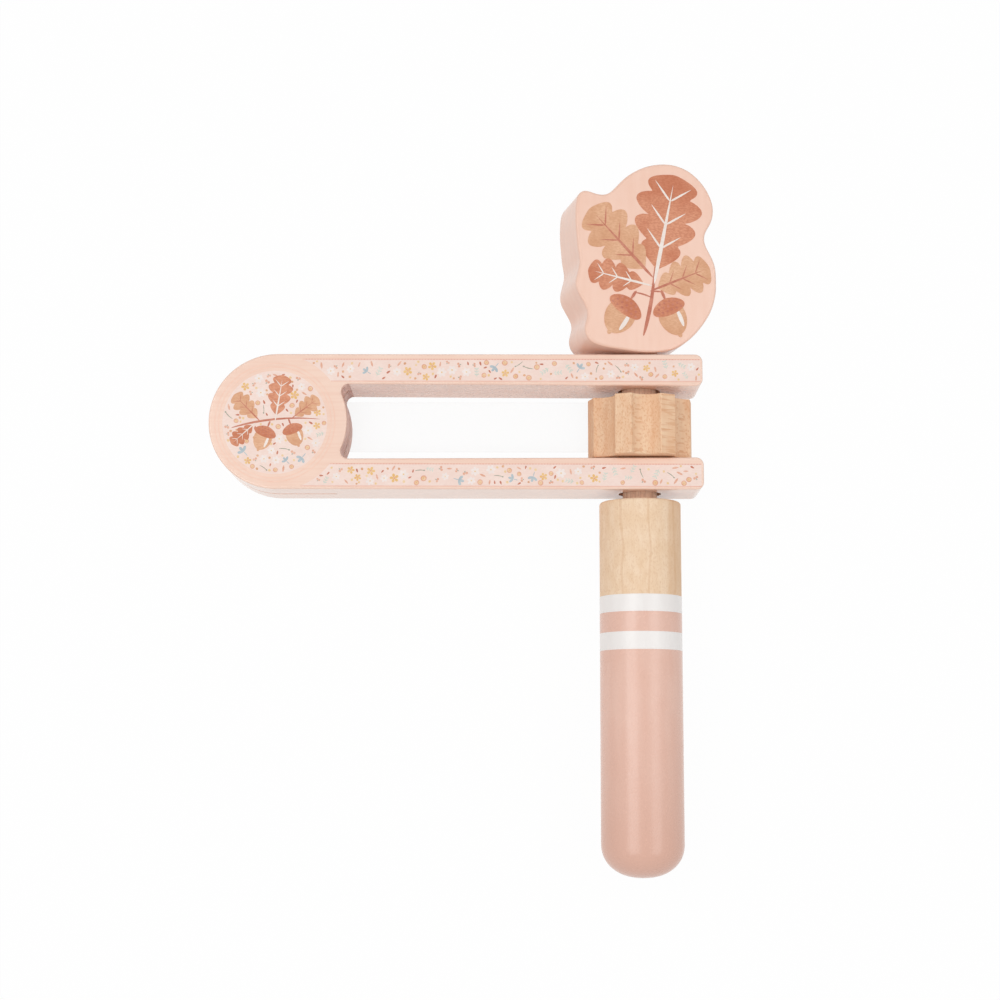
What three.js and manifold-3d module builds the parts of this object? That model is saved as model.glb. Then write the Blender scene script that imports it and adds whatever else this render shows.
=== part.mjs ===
// Wooden ratchet noisemaker lying on its back. Millimetres, +Z up.
//
// The frame is a fork that spins round the axle. A springy tongue in the frame's closed end
// clicks over the teeth of the gear. Gear, head block and handle are glued to the axle.
// The pieces are drawn round the axle, which runs along Y: X = 0 and Z = 0 are on its centre
// line, and Y = 0 is midway between the frame's arms. The last lines of the file set the toy
// down on the plane Z = 0.

import * as THREE from 'three';
import { mergeVertices } from 'three/addons/utils/BufferGeometryUtils.js';
import Module from 'manifold-3d';

const wasm = await Module();
wasm.setup();

// Frame: one board, round at its closed end
const frameLength = 144.2;
const frameHeight = 40;
const frameThickness = 20;
const armHeight = 9;
const armEndHeight = 9.45;
const armPastAxle = 18;
const armCornerRadius = 2.2;
const slotWallPastRound = 0.3;
const slotCornerRadius = 2.2;
const frameEdgeEase = 0.9;

// Axle: a dowel that turns in the holes of both arms
const axleDiameter = 10;
const axleChamfer = 0.8;
const runningClearance = 1.25;
const seatGap = 0.3;

// Tongue: a clear sheet glued in a saw cut halfway through the frame's thickness
const tongueThickness = 1;
const tongueSideGap = 3.5;
const tongueOffGullet = 1.4;
const tongueTipRadius = 1.5;
const tongueShoulderRadius = 3;
const tongueSetBack = 0.3;
const tongueRootInset = 1.2;
const sawRadius = 40;
const sawPastSlotWall = 1.8;

// Ratchet gear: a star wheel with flat tips and hollow flanks
const gearTeeth = 7;
const gearTipRadius = 15.45;
const gearTipWidth = 5.2;
const gearGulletDepth = 3;
const gearAboveLowerArm = 0.6;
const gearBelowUpperArm = 3;
const gearEdgeEase = 0.35;
const gulletPastTongue = THREE.MathUtils.degToRad(8.9);

// Handle: turned, with a domed end
const handleDiameter = 24;
const handleLength = 108.4;
const handleBelowFrame = 2.65;
const handleTopRadius = 1.3;
const handleDomeHeight = 9.8;
const handleDomePower = 2.2;
const handleSocketDepth = 32;

// Head block: a board cut along a wavy outline, turned a little on the axle
const headWidth = 43.2;
const headHeight = 57.6;
const headThickness = 20;
const headAboveFrame = 0.7;
const headEdgeEase = 0.9;
const headSocketDepth = 24;
const headTurn = THREE.MathUtils.degToRad(12.5);

// How finely round stretches are cut into flats, and how far a cutter runs past what it cuts
const roundSteps = 48;
const smallArcSteps = 6;
const outlineSteps = 96;
const easeSteps = 2;
const cutterOverrun = 2;
const weldDistance = 1e-4;

// Where things stand along the axle and across the toy
const frameHalf = frameHeight / 2;
const slotHalf = frameHalf - armHeight;
const roundCentreX = armPastAxle - frameLength + frameHalf;
const slotWallRadius = frameHalf + slotWallPastRound;
const axleRadius = axleDiameter / 2;
const socketRadius = axleRadius + seatGap;
const handleTopY = -frameHalf - handleBelowFrame;
const headBottomY = frameHalf + headAboveFrame;

// The head block's outline, as shares of its width and height, from the low point beside the
// axle and anticlockwise: right flank, waist, top lobe, dip, shoulder and left flank.
const headAxleShare = 0.505;
const headOutlineShares = [
  [0.475, 0.000], [0.584, 0.004], [0.701, 0.025], [0.819, 0.088], [0.896, 0.154],
  [0.962, 0.236], [0.996, 0.326], [1.000, 0.401], [0.993, 0.474], [0.961, 0.531],
  [0.928, 0.573], [0.914, 0.620], [0.932, 0.658], [0.966, 0.698], [0.986, 0.757],
  [0.978, 0.811], [0.944, 0.870], [0.887, 0.926], [0.802, 0.975], [0.700, 0.999],
  [0.618, 0.999], [0.525, 0.985], [0.428, 0.952], [0.347, 0.907], [0.273, 0.847],
  [0.236, 0.821], [0.188, 0.812], [0.123, 0.822], [0.068, 0.834], [0.033, 0.821],
  [0.012, 0.789], [0.004, 0.731], [0.002, 0.668], [0.009, 0.595], [0.018, 0.523],
  [0.034, 0.455], [0.021, 0.413], [0.002, 0.354], [0.007, 0.307], [0.038, 0.267],
  [0.074, 0.222], [0.088, 0.187], [0.064, 0.123], [0.069, 0.078], [0.100, 0.044],
  [0.182, 0.022], [0.330, 0.008],
];

const woodPale = new THREE.MeshStandardMaterial({ color: '#ecd0a8', roughness: 0.62, metalness: 0 });
const woodWarm = new THREE.MeshStandardMaterial({ color: '#e0ba90', roughness: 0.66, metalness: 0 });
const dowelWood = new THREE.MeshStandardMaterial({ color: '#d9b184', roughness: 0.66, metalness: 0 });
const peachPaint = new THREE.MeshStandardMaterial({ color: '#f6d4c2', roughness: 0.5, metalness: 0 });
const headPaint = new THREE.MeshStandardMaterial({ color: '#f4d0bc', roughness: 0.5, metalness: 0 });
const clearSheet = new THREE.MeshStandardMaterial({
  color: '#f2f5f6', roughness: 0.12, metalness: 0, transparent: true, opacity: 0.25,
});

// A point list along part of a circle, both ends included
function arc(x, y, radius, from, to, steps = smallArcSteps) {
  const points = [];
  for (let i = 0; i <= steps; i += 1) {
    const angle = from + ((to - from) * i) / steps;
    points.push(new THREE.Vector2(x + radius * Math.cos(angle), y + radius * Math.sin(angle)));
  }
  return points;
}

// An outline made solid, centred on its thickness, with both rims softened
function board(outline, thickness, ease) {
  const geometry = new THREE.ExtrudeGeometry(new THREE.Shape(outline), {
    depth: thickness - 2 * ease,
    bevelEnabled: ease > 0,
    bevelThickness: ease,
    bevelSize: ease,
    bevelOffset: -ease,
    bevelSegments: easeSteps,
  });
  return geometry.translate(0, 0, ease - thickness / 2);
}

// Booleans: a geometry becomes a solid with shared corners, and goes back to a geometry
function toSolid(geometry) {
  const bare = geometry.clone();
  bare.deleteAttribute('normal');
  bare.deleteAttribute('uv');
  const merged = mergeVertices(bare, weldDistance);
  return new wasm.Manifold(new wasm.Mesh({
    numProp: 3,
    vertProperties: new Float32Array(merged.attributes.position.array),
    triVerts: new Uint32Array(merged.index.array),
  }));
}

function toGeometry(solid) {
  const { vertProperties, triVerts, numProp } = solid.getMesh();
  const position = [];
  for (let i = 0; i < vertProperties.length; i += numProp) {
    position.push(vertProperties[i], vertProperties[i + 1], vertProperties[i + 2]);
  }
  const geometry = new THREE.BufferGeometry();
  geometry.setAttribute('position', new THREE.Float32BufferAttribute(position, 3));
  geometry.setIndex([...triVerts]);
  geometry.computeVertexNormals();
  return geometry;
}

function cut(geometry, ...cutters) {
  return toGeometry(cutters.reduce((solid, cutter) => solid.subtract(toSolid(cutter)), toSolid(geometry)));
}

// A round cutter along the axle, from one height to another
function axleCutter(radius, fromY, toY) {
  return new THREE.CylinderGeometry(radius, radius, toY - fromY, roundSteps)
    .translate(0, (fromY + toY) / 2, 0);
}

// The slot's closed end is a bulging wall, so each of its corners is a fillet between the
// wall's arc and the arm's straight edge.
const filletY = slotHalf - slotCornerRadius;
const filletX = roundCentreX + Math.sqrt((slotWallRadius + slotCornerRadius) ** 2 - filletY ** 2);
const filletTurn = Math.atan2(filletY, filletX - roundCentreX);

// From there the slot narrows evenly to its open end, because the arms grow a little in height.
// The gear stands between them.
const slotEndHalf = frameHalf - armEndHeight;
const slotHalfAtAxle = slotHalf + ((slotEndHalf - slotHalf) * filletX) / (filletX - armPastAxle);
const gearBottomY = gearAboveLowerArm - slotHalfAtAxle;
const gearTopY = slotHalfAtAxle - gearBelowUpperArm;

function frameOutline() {
  const r = armCornerRadius;
  const right = armPastAxle - r;
  const quarter = Math.PI / 2;
  return [
    ...arc(right, r - frameHalf, r, -quarter, 0),
    ...arc(right, -slotEndHalf - r, r, 0, quarter),
    ...arc(filletX, -filletY, slotCornerRadius, -quarter, -Math.PI - filletTurn),
    ...arc(roundCentreX, 0, slotWallRadius, -filletTurn, filletTurn, 2 * smallArcSteps).slice(1, -1),
    ...arc(filletX, filletY, slotCornerRadius, Math.PI + filletTurn, quarter),
    ...arc(right, slotEndHalf + r, r, -quarter, 0),
    ...arc(right, frameHalf - r, r, 0, quarter),
    ...arc(roundCentreX, 0, frameHalf, quarter, 3 * quarter, roundSteps / 2),
  ];
}

// The saw comes in from the round end as far as the slot, so its cut ends in the saw's own arc
function frameGeometry() {
  const hole = axleCutter(axleRadius + runningClearance, -frameHalf - cutterOverrun, frameHalf + cutterOverrun);
  const sawCentreX = roundCentreX + slotWallRadius + sawPastSlotWall - sawRadius;
  const sawCut = board([
    new THREE.Vector2(sawCentreX - frameLength, -sawRadius),
    ...arc(sawCentreX, 0, sawRadius, -Math.PI / 2, Math.PI / 2, roundSteps),
    new THREE.Vector2(sawCentreX - frameLength, sawRadius),
  ], tongueThickness, 0);
  return cut(board(frameOutline(), frameThickness, frameEdgeEase), hole, sawCut);
}

// The root fills the saw cut, and a narrower leaf runs through the slot into a gullet
function tongueGeometry() {
  const rootRadius = frameHalf - tongueSetBack;
  const shoulderX = filletX - slotCornerRadius - tongueRootInset - tongueShoulderRadius;
  const tipX = gearGulletDepth - gearTipRadius - tongueOffGullet;
  const half = slotHalf - tongueSideGap;
  const quarter = Math.PI / 2;
  const outline = [
    new THREE.Vector2(shoulderX, -rootRadius),
    ...arc(shoulderX + tongueShoulderRadius, -half - tongueShoulderRadius, tongueShoulderRadius, Math.PI, quarter),
    ...arc(tipX - tongueTipRadius, tongueTipRadius - half, tongueTipRadius, -quarter, 0),
    ...arc(tipX - tongueTipRadius, half - tongueTipRadius, tongueTipRadius, 0, quarter),
    ...arc(shoulderX + tongueShoulderRadius, half + tongueShoulderRadius, tongueShoulderRadius, 3 * quarter, Math.PI),
    new THREE.Vector2(shoulderX, rootRadius),
    ...arc(roundCentreX, 0, rootRadius, quarter, 3 * quarter, roundSteps / 2),
  ];
  return board(outline, tongueThickness, 0);
}

// Each gullet is one arc from a tip's corner to the next tip's corner. The tongue points at the
// axle from the side of -X and rests in a gullet, a little off its middle.
function gearGeometry() {
  const pitch = (2 * Math.PI) / gearTeeth;
  const tipHalf = Math.asin(gearTipWidth / 2 / gearTipRadius);
  const gapHalf = pitch / 2 - tipHalf;
  const chordHalf = gearTipRadius * Math.sin(gapHalf);
  const chordRadius = gearTipRadius * Math.cos(gapHalf);
  const sagitta = chordRadius - (gearTipRadius - gearGulletDepth);
  const gulletRadius = (chordHalf ** 2 + sagitta ** 2) / (2 * sagitta);
  const gulletCentre = gearTipRadius - gearGulletDepth + gulletRadius;
  const gulletHalf = Math.asin(chordHalf / gulletRadius);
  const outline = [];
  for (let tooth = 0; tooth < gearTeeth; tooth += 1) {
    const middle = Math.PI + gulletPastTongue + tooth * pitch;
    const facing = middle + Math.PI;
    outline.push(...arc(
      gulletCentre * Math.cos(middle), gulletCentre * Math.sin(middle), gulletRadius,
      facing + gulletHalf, facing - gulletHalf, 2 * smallArcSteps,
    ));
  }
  return cut(
    board(outline, gearTopY - gearBottomY, gearEdgeEase)
      .rotateX(Math.PI / 2)
      .translate(0, (gearBottomY + gearTopY) / 2, 0),
    axleCutter(socketRadius, gearBottomY - cutterOverrun, gearTopY + cutterOverrun),
  );
}

function axleGeometry() {
  const low = handleTopY - handleSocketDepth + seatGap;
  const high = headBottomY + headSocketDepth - seatGap;
  const profile = [
    new THREE.Vector2(0, low),
    new THREE.Vector2(axleRadius - axleChamfer, low),
    new THREE.Vector2(axleRadius, low + axleChamfer),
    new THREE.Vector2(axleRadius, high - axleChamfer),
    new THREE.Vector2(axleRadius - axleChamfer, high),
    new THREE.Vector2(0, high),
  ];
  return new THREE.LatheGeometry(profile, roundSteps);
}

// The dome is a rounded square in section, a little fuller than an ellipse
function handleGeometry() {
  const radius = handleDiameter / 2;
  const domeY = handleTopY - handleLength + handleDomeHeight;
  const profile = [new THREE.Vector2(0, handleTopY - handleLength)];
  for (let i = 1; i <= 2 * smallArcSteps; i += 1) {
    const angle = (Math.PI / 2) * (i / (2 * smallArcSteps));
    const out = Math.sin(angle) ** (2 / handleDomePower);
    const down = Math.max(Math.cos(angle), 0) ** (2 / handleDomePower);
    profile.push(new THREE.Vector2(radius * out, domeY - handleDomeHeight * down));
  }
  profile.push(
    ...arc(radius - handleTopRadius, handleTopY - handleTopRadius, handleTopRadius, 0, Math.PI / 2),
    new THREE.Vector2(socketRadius, handleTopY),
    new THREE.Vector2(socketRadius, handleTopY - handleSocketDepth),
    new THREE.Vector2(0, handleTopY - handleSocketDepth),
  );
  return new THREE.LatheGeometry(profile, roundSteps);
}

function headGeometry() {
  const corners = headOutlineShares.map(([across, up]) => new THREE.Vector3(
    headWidth * (across - headAxleShare), headBottomY + headHeight * up, 0,
  ));
  const curve = new THREE.CatmullRomCurve3(corners, true, 'centripetal');
  const outline = curve.getSpacedPoints(outlineSteps).slice(0, -1).map((p) => new THREE.Vector2(p.x, p.y));
  const socket = axleCutter(socketRadius, headBottomY - cutterOverrun, headBottomY + headSocketDepth);
  return cut(board(outline, headThickness, headEdgeEase), socket);
}

const toy = new THREE.Group();

function place(name, geometry, material) {
  const mesh = new THREE.Mesh(geometry, material);
  mesh.name = name;
  toy.add(mesh);
  return mesh;
}

place('frame', frameGeometry(), peachPaint);
place('tongue', tongueGeometry(), clearSheet);
place('axle', axleGeometry(), dowelWood);
place('ratchet_gear', gearGeometry(), woodWarm);
place('handle', handleGeometry(), woodPale);
place('head_block', headGeometry(), headPaint).rotation.y = headTurn;

// Set down with the box's bottom centre on the origin
toy.updateMatrixWorld(true);
const reach = new THREE.Box3().setFromObject(toy, true);
const middle = reach.getCenter(new THREE.Vector3());
toy.position.set(-middle.x, -middle.y, -reach.min.z);

export default toy;
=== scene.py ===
# Wooden ratchet noisemaker lying on its back, dressed for a studio picture.
# Metres, +Z up. The axle runs along Y, and the printed front faces up.

import math
import random

import bmesh
import bpy
from mathutils import Euler, Matrix, Vector


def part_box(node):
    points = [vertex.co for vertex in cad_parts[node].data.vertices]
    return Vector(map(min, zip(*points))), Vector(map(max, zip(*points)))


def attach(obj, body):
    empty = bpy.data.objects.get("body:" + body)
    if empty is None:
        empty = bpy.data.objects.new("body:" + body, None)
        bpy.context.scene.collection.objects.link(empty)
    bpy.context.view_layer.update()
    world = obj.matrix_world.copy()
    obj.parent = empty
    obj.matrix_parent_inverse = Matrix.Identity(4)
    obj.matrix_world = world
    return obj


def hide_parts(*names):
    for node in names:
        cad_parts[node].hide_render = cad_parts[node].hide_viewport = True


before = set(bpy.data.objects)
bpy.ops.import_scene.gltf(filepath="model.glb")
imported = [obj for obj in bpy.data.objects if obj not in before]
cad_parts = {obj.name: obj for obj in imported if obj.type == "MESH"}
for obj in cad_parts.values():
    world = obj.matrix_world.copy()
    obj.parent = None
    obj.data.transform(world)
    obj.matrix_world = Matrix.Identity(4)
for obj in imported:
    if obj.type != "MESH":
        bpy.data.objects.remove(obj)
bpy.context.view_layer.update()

mm = 0.001
quarterTurn = math.pi / 2
weldDistance = 0.001 * mm
near = 0.1 * mm  # how close counts as lying on a surface
drillSteps = 96
cutPast = 2.0 * mm  # how far a cutter reaches past the piece it cuts
sharpAngle = math.radians(32)  # edges that turn more than this stay crisp

frameLow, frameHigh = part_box("frame")
axleLow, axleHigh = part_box("axle")
gearLow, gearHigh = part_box("ratchet_gear")
handleLow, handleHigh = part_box("handle")
axleX = (axleLow.x + axleHigh.x) / 2
axleZ = (axleLow.z + axleHigh.z) / 2
axleRadius = (axleHigh.x - axleLow.x) / 2
middleY = (frameLow.y + frameHigh.y) / 2
frameHalf = (frameHigh.y - frameLow.y) / 2
roundCentre = Vector((frameLow.x + frameHalf, middleY, 0))
print("frame loaded:", len(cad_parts), "solids")


# Nodes and colours

mixFactor, mixA, mixB = 0, 6, 7  # sockets of a Mix node set to colours
floatA, floatB = 2, 3  # and of one set to plain numbers
waveLength = 0.314  # of a Wave Texture's bands at scale 1
softStep = {"interpolation_type": "SMOOTHSTEP"}


def hexColour(text):
    channels = [int(text[i:i + 2], 16) / 255 for i in (1, 3, 5)]
    linear = [c / 12.92 if c <= 0.04045 else ((c + 0.055) / 1.055) ** 2.4 for c in channels]
    return (*linear, 1)


# Sets or links a node's inputs. A node given as a value stands for its first output in use.
def feed(tree, node, inputs):
    for name, value in inputs.items():
        if isinstance(value, bpy.types.Node):
            value = next(socket for socket in value.outputs if socket.enabled)
        if isinstance(value, bpy.types.NodeSocket):
            tree.links.new(value, node.inputs[name])
        else:
            node.inputs[name].default_value = value


def addNode(tree, kind, inputs, **settings):
    node = tree.nodes.new(kind)
    for name, value in settings.items():
        setattr(node, name, value)
    feed(tree, node, inputs)
    return node


def newMaterial(name, sockets):
    material = bpy.data.materials.new(name)
    material.use_nodes = True
    surface = material.node_tree.nodes["Principled BSDF"]
    feed(material.node_tree, surface, sockets)
    return material, material.node_tree, surface


# Where a pattern is read: turned about Y, and sized so that one unit is as long as given, in millimetres
def patternPlace(tree, lengths, turn=0.0):
    place = addNode(tree, "ShaderNodeTexCoord", {}).outputs["Object"]
    return addNode(tree, "ShaderNodeMapping", {
        "Vector": place, "Rotation": (0, -turn, 0), "Scale": [length * mm for length in lengths],
    }, vector_type="TEXTURE")


# Lays a stain over a colour: none of it where the pattern is at low, its full strength at high
def stained(tree, colour, pattern, low, high, strength, stain):
    amount = addNode(tree, "ShaderNodeMapRange", {
        "Value": pattern, "From Min": low, "From Max": high, "To Max": strength,
    }, **softStep)
    return addNode(tree, "ShaderNodeMix", {
        mixFactor: amount, mixA: colour, mixB: hexColour(stain),
    }, data_type="RGBA")


# Bare wood with its fibres along Y, drawn about ten times too coarse, as real ones are too fine to show.
# Its rays are thin ribbons that point at the tree's heart, so they show as short upright dashes on one
# side of a piece and as level bars a quarter turn further round. The heart's direction is a turn about Y,
# and every size is in millimetres.
def woodLook(name, wood):
    material, tree, surface = newMaterial(name, {"IOR": 1.5, "Specular IOR Level": 0.35})
    heart = wood["heart"]
    mottle = addNode(tree, "ShaderNodeTexNoise", {
        "Vector": patternPlace(tree, wood["mottle"], heart), "Scale": 1, "Detail": 3, "Roughness": 0.55,
    })
    colour = stained(tree, hexColour(wood["pale"]), mottle, 0.32, 0.68, 1, wood["warm"])
    fibre = addNode(tree, "ShaderNodeTexNoise", {
        "Vector": patternPlace(tree, wood["fibreSize"], heart), "Scale": 1, "Detail": 3, "Roughness": 0.65,
    })
    colour = stained(tree, colour, fibre, 0.4, 0.7, wood["fibreStrength"], wood["line"])

    # Late wood: a darker line at the end of each year's growth
    turned = patternPlace(tree, (1, 1, 1), heart)
    shifted = addNode(tree, "ShaderNodeMapping", {"Vector": turned, "Location": (wood["lineShift"], 0, 0)})
    scale = waveLength / wood["lineSpacing"]
    lines = addNode(tree, "ShaderNodeTexWave", {
        "Vector": shifted, "Scale": scale, "Distortion": wood["lineWander"], "Detail": 2,
        "Detail Scale": 1 / (scale * wood["wanderLength"]), "Detail Roughness": 0.5,
    }, wave_type="BANDS", bands_direction="X", wave_profile="SIN").outputs["Fac"]
    colour = stained(tree, colour, lines, wood["lineFrom"], 1, wood["lineStrength"], wood["line"])
    # Painted shade: a darker, redder band down one flank of the piece, past a given distance across X
    if "flankShadeFrom" in wood:
        across = addNode(tree, "ShaderNodeSeparateXYZ", {"Vector": turned}).outputs["X"]
        flankShadeTo = wood["flankShadeFrom"] + wood["flankShadeFade"]
        colour = stained(tree, colour, across, wood["flankShadeFrom"], flankShadeTo, wood["flankShadeStrength"], wood["line"])

    fleck = addNode(tree, "ShaderNodeTexNoise", {
        "Vector": patternPlace(tree, wood["fleckSize"], heart), "Scale": 1, "Detail": 1, "Roughness": 0.5,
    })
    pores = addNode(tree, "ShaderNodeMapRange", {
        "Value": fleck, "From Min": 0.5, "From Max": 0.7, "To Max": wood["fleckStrength"],
    }, **softStep)
    colour = addNode(tree, "ShaderNodeMix", {
        mixFactor: pores, mixA: colour, mixB: hexColour(wood["line"]),
    }, data_type="RGBA")
    rays = addNode(tree, "ShaderNodeTexNoise", {
        "Vector": patternPlace(tree, wood["raySize"], heart), "Scale": 1, "Detail": 1, "Roughness": 0.4,
    })
    rayTo = wood["rayFrom"] + 0.07
    colour = stained(tree, colour, rays, wood["rayFrom"], rayTo, wood["rayStrength"], wood["ray"])

    rough = addNode(tree, "ShaderNodeMapRange", {
        "Value": fibre, "From Min": 0.3, "From Max": 0.7, "To Min": 0.54, "To Max": 0.7,
    }, **softStep)
    height = addNode(tree, "ShaderNodeMath", {0: pores, 1: -2, 2: fibre}, operation="MULTIPLY_ADD")
    bump = addNode(tree, "ShaderNodeBump", {"Height": height, "Strength": 1, "Distance": 0.01 * mm})
    feed(tree, surface, {"Base Color": colour, "Roughness": rough, "Normal": bump})
    return material


# Satin paint, sprayed on sanded wood. The fibres still show through as faint lengthwise ridges.
def paintLook(name, paint):
    material, tree, surface = newMaterial(name, {"IOR": 1.5, "Specular IOR Level": 0.5})
    fibre = addNode(tree, "ShaderNodeTexNoise", {
        "Vector": patternPlace(tree, paint["fibreSize"]), "Scale": 1, "Detail": 1.5, "Roughness": 0.5,
    })
    cloud = addNode(tree, "ShaderNodeTexNoise", {
        "Vector": patternPlace(tree, (11, 11, 11)), "Scale": 1, "Detail": 2, "Roughness": 0.5,
    })
    mixed = addNode(tree, "ShaderNodeMix", {mixFactor: 0.4, floatA: fibre, floatB: cloud}, data_type="FLOAT")
    colour = stained(tree, hexColour(paint["deep"]), mixed, 0.36, 0.64, 1, paint["light"])
    if "domeShade" in paint:  # painted shade: the colour darkens towards the low end of Y, the handle's dome
        place = addNode(tree, "ShaderNodeTexCoord", {}).outputs["Object"]
        along = addNode(tree, "ShaderNodeSeparateXYZ", {"Vector": place}).outputs["Y"]
        colour = stained(tree, colour, along, paint["domeShadeFrom"], paint["domeShadeEnd"], 1, paint["domeShade"])

    peel = addNode(tree, "ShaderNodeTexNoise", {
        "Vector": patternPlace(tree, (1.6, 1.6, 1.6)), "Scale": 1, "Detail": 0, "Roughness": 0.4,
    })
    rough = addNode(tree, "ShaderNodeMapRange", {
        "Value": peel, "From Min": 0.3, "From Max": 0.7,
        "To Min": paint["roughness"] - 0.03, "To Max": paint["roughness"] + 0.04,
    }, **softStep)
    height = addNode(tree, "ShaderNodeMath", {0: peel, 1: 0.5, 2: fibre}, operation="MULTIPLY_ADD")
    bump = addNode(tree, "ShaderNodeBump", {
        "Height": height, "Strength": 1, "Distance": paint["relief"] * mm,
    })
    feed(tree, surface, {"Base Color": colour, "Roughness": rough, "Normal": bump})
    return material


# Water-based ink, printed flat on the paint: a thin dull wash that pools a little, with the level grain of
# the print head, drawn several times too coarse, as its real dots are too fine to show
def inkLook(name, light, deep, speckle, grainStrength, pool):
    material, tree, surface = newMaterial(name, {"IOR": 1.5, "Specular IOR Level": 0.4})
    wash = addNode(tree, "ShaderNodeTexNoise", {
        "Vector": patternPlace(tree, (pool, pool, pool)), "Scale": 1, "Detail": 2, "Roughness": 0.5,
    })
    colour = stained(tree, hexColour(light), wash, 0.32, 0.68, 1, deep)
    dots = addNode(tree, "ShaderNodeTexNoise", {
        "Vector": patternPlace(tree, (0.9, 0.35, 0.4)), "Scale": 1, "Detail": 1, "Roughness": 0.5,
    })
    grain = addNode(tree, "ShaderNodeMapRange", {
        "Value": dots, "From Min": 0.35, "From Max": 0.65, "To Max": grainStrength,
    }, **softStep)
    colour = addNode(tree, "ShaderNodeMix", {
        mixFactor: grain, mixA: colour, mixB: hexColour(speckle),
    }, data_type="RGBA")
    rough = addNode(tree, "ShaderNodeMapRange", {"Value": grain, "To Min": 0.46, "To Max": 0.56}, **softStep)
    feed(tree, surface, {"Base Color": colour, "Roughness": rough})
    return material


# Making pieces

# Draws an outline flat in XY: straight runs by extruding a point, arcs by spinning it
class OutlinePen:
    def __init__(self, x, y):
        self.bm = bmesh.new()
        self.tip = self.bm.verts.new((x, y, 0))

    def line(self, x, y):
        self.tip = bmesh.ops.extrude_vert_indiv(self.bm, verts=[self.tip])["verts"][0]
        self.tip.co = (x, y, 0)

    def arc(self, x, y, turn, steps):
        made = bmesh.ops.spin(self.bm, geom=[self.tip], cent=(x, y, 0), axis=(0, 0, 1),
                              dvec=(0, 0, 0), angle=turn, steps=steps, use_duplicate=False)
        self.tip = made["geom_last"][0]

    def close(self):
        bmesh.ops.remove_doubles(self.bm, verts=self.bm.verts[:], dist=weldDistance)
        bmesh.ops.contextual_create(self.bm, geom=self.bm.edges[:])
        return self.bm


def easeEdges(bm, edges, width, steps):
    bmesh.ops.bevel(bm, geom=edges, offset=width, offset_type="OFFSET", segments=steps, profile=0.5,
                    affect="EDGES", material=-1)


# Makes a flat outline into a board centred on Z = 0, with both rims rounded
def raiseBoard(bm, thickness, ease=0, easeSteps=1):
    bmesh.ops.translate(bm, verts=bm.verts[:], vec=(0, 0, -thickness / 2))
    raised = bmesh.ops.extrude_face_region(bm, geom=bm.faces[:])["geom"]
    bmesh.ops.translate(bm, verts=[g for g in raised if isinstance(g, bmesh.types.BMVert)],
                        vec=(0, 0, thickness))
    bmesh.ops.recalc_face_normals(bm, faces=bm.faces[:])
    if ease:
        rims = [e for e in bm.edges if abs(e.verts[0].co.z - e.verts[1].co.z) < weldDistance]
        easeEdges(bm, rims, ease, easeSteps)


def moved(bm, matrix):
    bmesh.ops.transform(bm, matrix=matrix, verts=bm.verts[:])
    return bm


def meshObject(name, bm, materials=()):
    mesh = bpy.data.meshes.new(name)
    bm.to_mesh(mesh)
    bm.free()
    for material in materials:
        mesh.materials.append(material)
    piece = bpy.data.objects.new(name, mesh)
    bpy.context.scene.collection.objects.link(piece)
    return piece


# Cuts the cutters out of a piece and keeps the result as its mesh
def cutAway(piece, cutters):
    for cutter in cutters:
        tool = meshObject("cutter", cutter)
        cut = piece.modifiers.new("cut", "BOOLEAN")
        cut.object = tool
        cut.solver = "EXACT"
        bpy.context.view_layer.update()
        done = bpy.data.meshes.new_from_object(piece.evaluated_get(bpy.context.evaluated_depsgraph_get()))
        piece.modifiers.clear()
        piece.data = done
        bpy.data.objects.remove(tool)


def finishPiece(piece, body, stands):
    piece.data.shade_smooth()
    piece.data.set_sharp_from_angle(angle=sharpAngle)
    evened = piece.modifiers.new("evenShading", "WEIGHTED_NORMAL")
    evened.keep_sharp = True
    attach(piece, body)
    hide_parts(*stands)
    return piece


# Turns a profile, drawn beside X = 0, once round the axle
def turnedPiece(name, pen, materials, steps, stands):
    bm = pen.bm
    bmesh.ops.spin(bm, geom=bm.verts[:] + bm.edges[:], cent=(0, 0, 0), axis=(0, 1, 0), dvec=(0, 0, 0),
                   angle=2 * math.pi, steps=steps, use_merge=True, use_duplicate=False)
    bmesh.ops.remove_doubles(bm, verts=bm.verts[:], dist=weldDistance)
    bmesh.ops.recalc_face_normals(bm, faces=bm.faces[:])
    piece = meshObject(name, moved(bm, Matrix.Translation((axleX, 0, axleZ))), materials)
    return finishPiece(piece, "rotor", stands)


# A round cutter along the axle
def axleDrill(radius, fromY, toY):
    bm = bmesh.new()
    bmesh.ops.create_cone(bm, cap_ends=True, segments=drillSteps, radius1=radius, radius2=radius,
                          depth=toY - fromY)
    lie = Matrix.Rotation(quarterTurn, 4, "X")
    return moved(bm, Matrix.Translation((axleX, (fromY + toY) / 2, axleZ)) @ lie)


# The frame: one painted board, forked, with a saw cut in its round end

frameShape = {
    "armHeight": 9.0 * mm,
    "armEndHeight": 9.45 * mm,
    "armCorner": 2.2 * mm,
    "slotCorner": 2.2 * mm,
    "wallPastRound": 0.45 * mm,
    "edgeEase": 0.6 * mm,
    "holeRadius": 6.25 * mm,
    "sawCut": 1.0 * mm,
    "sawRadius": 40.0 * mm,
    "sawPastWall": 1.8 * mm,
    "wallSlope": 0.7,  # a face belongs to a wall where its normal points less upwards than this
    "endSlope": 0.05,  # and to the slot's closed end where it points to the right by more than this
    "easeSteps": 5,
    "cornerSteps": 10,
    "filletSteps": 14,
    "wallSteps": 30,
    "roundSteps": 120,
}

# Satin paint sprayed on planed beech: a smooth milky peach, softly glossy, with faint long ridges
peachPaint = paintLook("satinPeachPaintOnBeechBoard", {
    "light": "#f7d7c5", "deep": "#f4d0bd", "roughness": 0.14, "fibreSize": (24.0, 0.9, 0.9), "relief": 0.012,
})
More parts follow.
